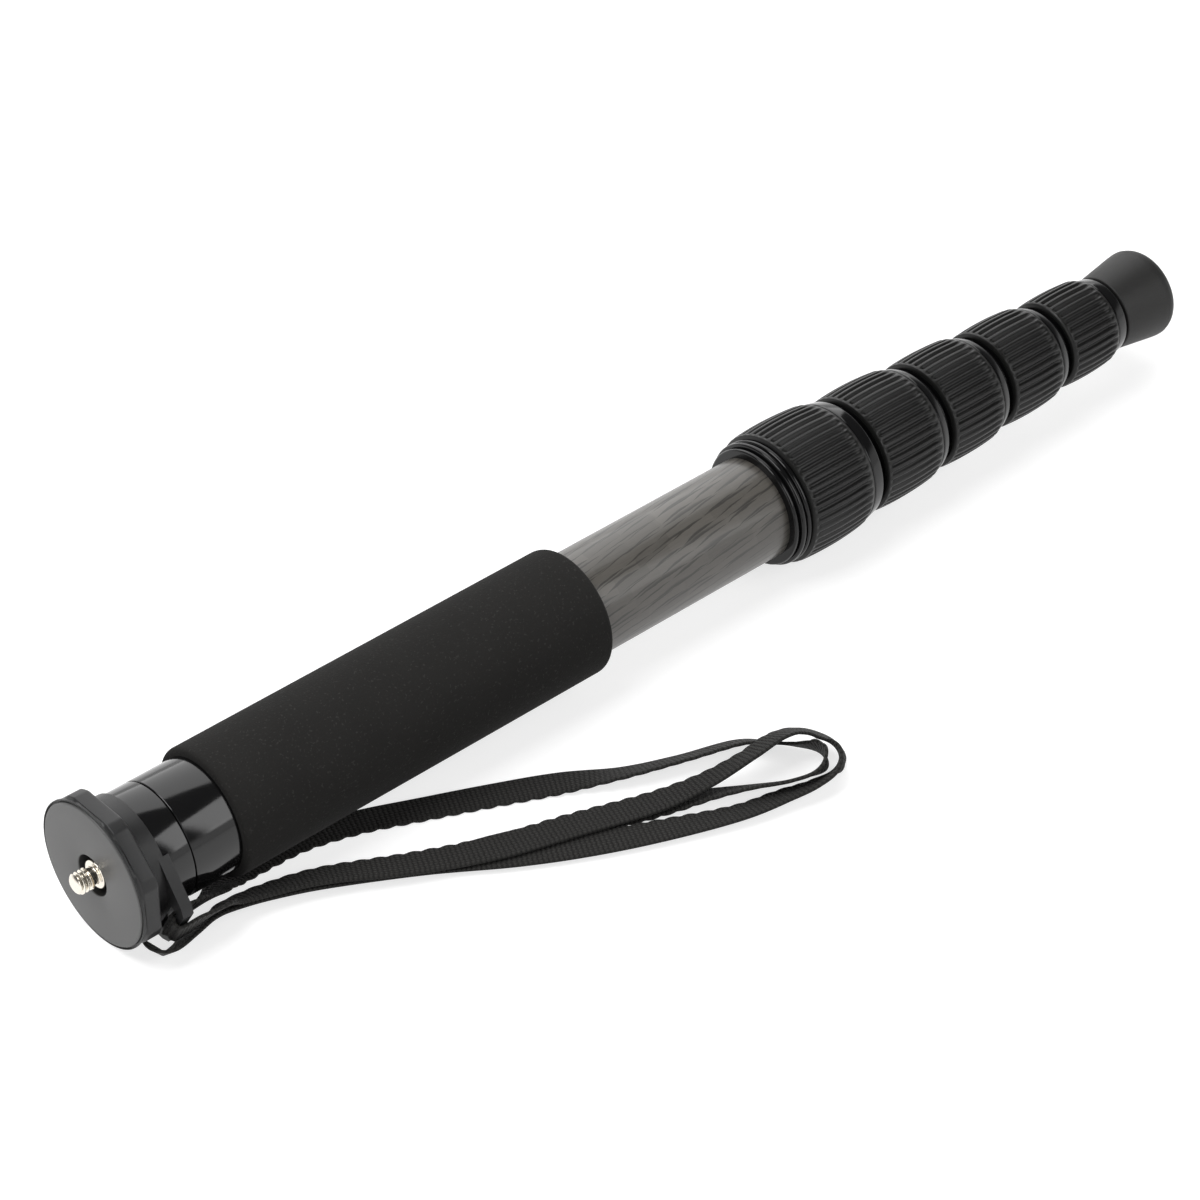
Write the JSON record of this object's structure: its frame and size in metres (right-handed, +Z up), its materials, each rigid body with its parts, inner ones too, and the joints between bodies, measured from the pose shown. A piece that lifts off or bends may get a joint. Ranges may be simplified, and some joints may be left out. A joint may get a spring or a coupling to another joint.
{
  "type": "camera monopod",
  "caption": "Telescoping carbon-tube camera monopod with ribbed twist locks, foam grip, lobed camera plate with screw, wrist strap and rubber foot, folded and lying on its side.",
  "frame": {"origin": "on the surface that the monopod lies on, below the middle of its length on the tube axis", "axes": "+X along the tube axis from the camera plate to the foot, +Z up from the surface; the strap lies on the -Y side"},
  "size_m": [0.418, 0.1121, 0.0445],
  "materials": {
    "satin_grey": "satin anodised",
    "gloss_black": "gloss anodised",
    "nickel": "nickel plate",
    "carbon": "satin lacquer over carbon fibre",
    "nylon_white": "moulded",
    "foam_black": "closed-cell foam, matte",
    "rubber_grey": "matte",
    "foot_grey": "matte",
    "webbing_black": "woven webbing"
  },
  "bodies": {
    "section_1": {"camera_plate": "satin_grey", "camera_screw": "nickel", "strap_ring": "satin_grey", "neck_hub": "gloss_black", "tube_collar": "gloss_black", "foam_grip": "foam_black", "wrist_strap_inner": "webbing_black", "wrist_strap_outer": "webbing_black", "tube_1": "carbon", "lock_ferrule_1": "gloss_black", "lock_collet_1": "nylon_white"},
    "section_2": {"tube_2": "carbon", "guide_shims_2": "nylon_white", "lock_ferrule_2": "gloss_black", "lock_collet_2": "nylon_white"},
    "section_3": {"tube_3": "carbon", "guide_shims_3": "nylon_white", "lock_ferrule_3": "gloss_black", "lock_collet_3": "nylon_white"},
    "section_4": {"tube_4": "carbon", "guide_shims_4": "nylon_white", "lock_ferrule_4": "gloss_black", "lock_collet_4": "nylon_white"},
    "section_5": {"tube_5": "carbon", "guide_shims_5": "nylon_white", "lock_ferrule_5": "gloss_black", "lock_collet_5": "nylon_white"},
    "section_6": {"tube_6": "carbon", "guide_shims_6": "nylon_white", "foot_plug": "gloss_black", "rubber_foot": "foot_grey"},
    "nut_1": {"lock_nut_1": "gloss_black", "lock_sleeve_1": "rubber_grey"},
    "nut_2": {"lock_nut_2": "gloss_black", "lock_sleeve_2": "rubber_grey"},
    "nut_3": {"lock_nut_3": "gloss_black", "lock_sleeve_3": "rubber_grey"},
    "nut_4": {"lock_nut_4": "gloss_black", "lock_sleeve_4": "rubber_grey"},
    "nut_5": {"lock_nut_5": "gloss_black", "lock_sleeve_5": "rubber_grey"}
  },
  "joints": [
    {"name": "slide_2", "type": "slide", "parent": "section_1", "child": "section_2", "axis": [1, 0, 0], "range_m": [0, 0.201]},
    {"name": "lock_turn_1", "type": "hinge", "parent": "section_1", "child": "nut_1", "pos_m": [0.055, 0, 0.02227], "axis": [1, 0, 0], "range_deg": [0, 120]},
    {"name": "slide_3", "type": "slide", "parent": "section_2", "child": "section_3", "axis": [1, 0, 0], "range_m": [0, 0.2155]},
    {"name": "lock_turn_2", "type": "hinge", "parent": "section_2", "child": "nut_2", "pos_m": [0.089, 0, 0.02227], "axis": [1, 0, 0], "range_deg": [0, 120]},
    {"name": "slide_4", "type": "slide", "parent": "section_3", "child": "section_4", "axis": [1, 0, 0], "range_m": [0, 0.2275]},
    {"name": "lock_turn_3", "type": "hinge", "parent": "section_3", "child": "nut_3", "pos_m": [0.118, 0, 0.02227], "axis": [1, 0, 0], "range_deg": [0, 120]},
    {"name": "slide_5", "type": "slide", "parent": "section_4", "child": "section_5", "axis": [1, 0, 0], "range_m": [0, 0.2375]},
    {"name": "lock_turn_4", "type": "hinge", "parent": "section_4", "child": "nut_4", "pos_m": [0.146, 0, 0.02227], "axis": [1, 0, 0], "range_deg": [0, 120]},
    {"name": "slide_6", "type": "slide", "parent": "section_5", "child": "section_6", "axis": [1, 0, 0], "range_m": [0, 0.2475]},
    {"name": "lock_turn_5", "type": "hinge", "parent": "section_5", "child": "nut_5", "pos_m": [0.174, 0, 0.02227], "axis": [1, 0, 0], "range_deg": [0, 120]}
  ]
}
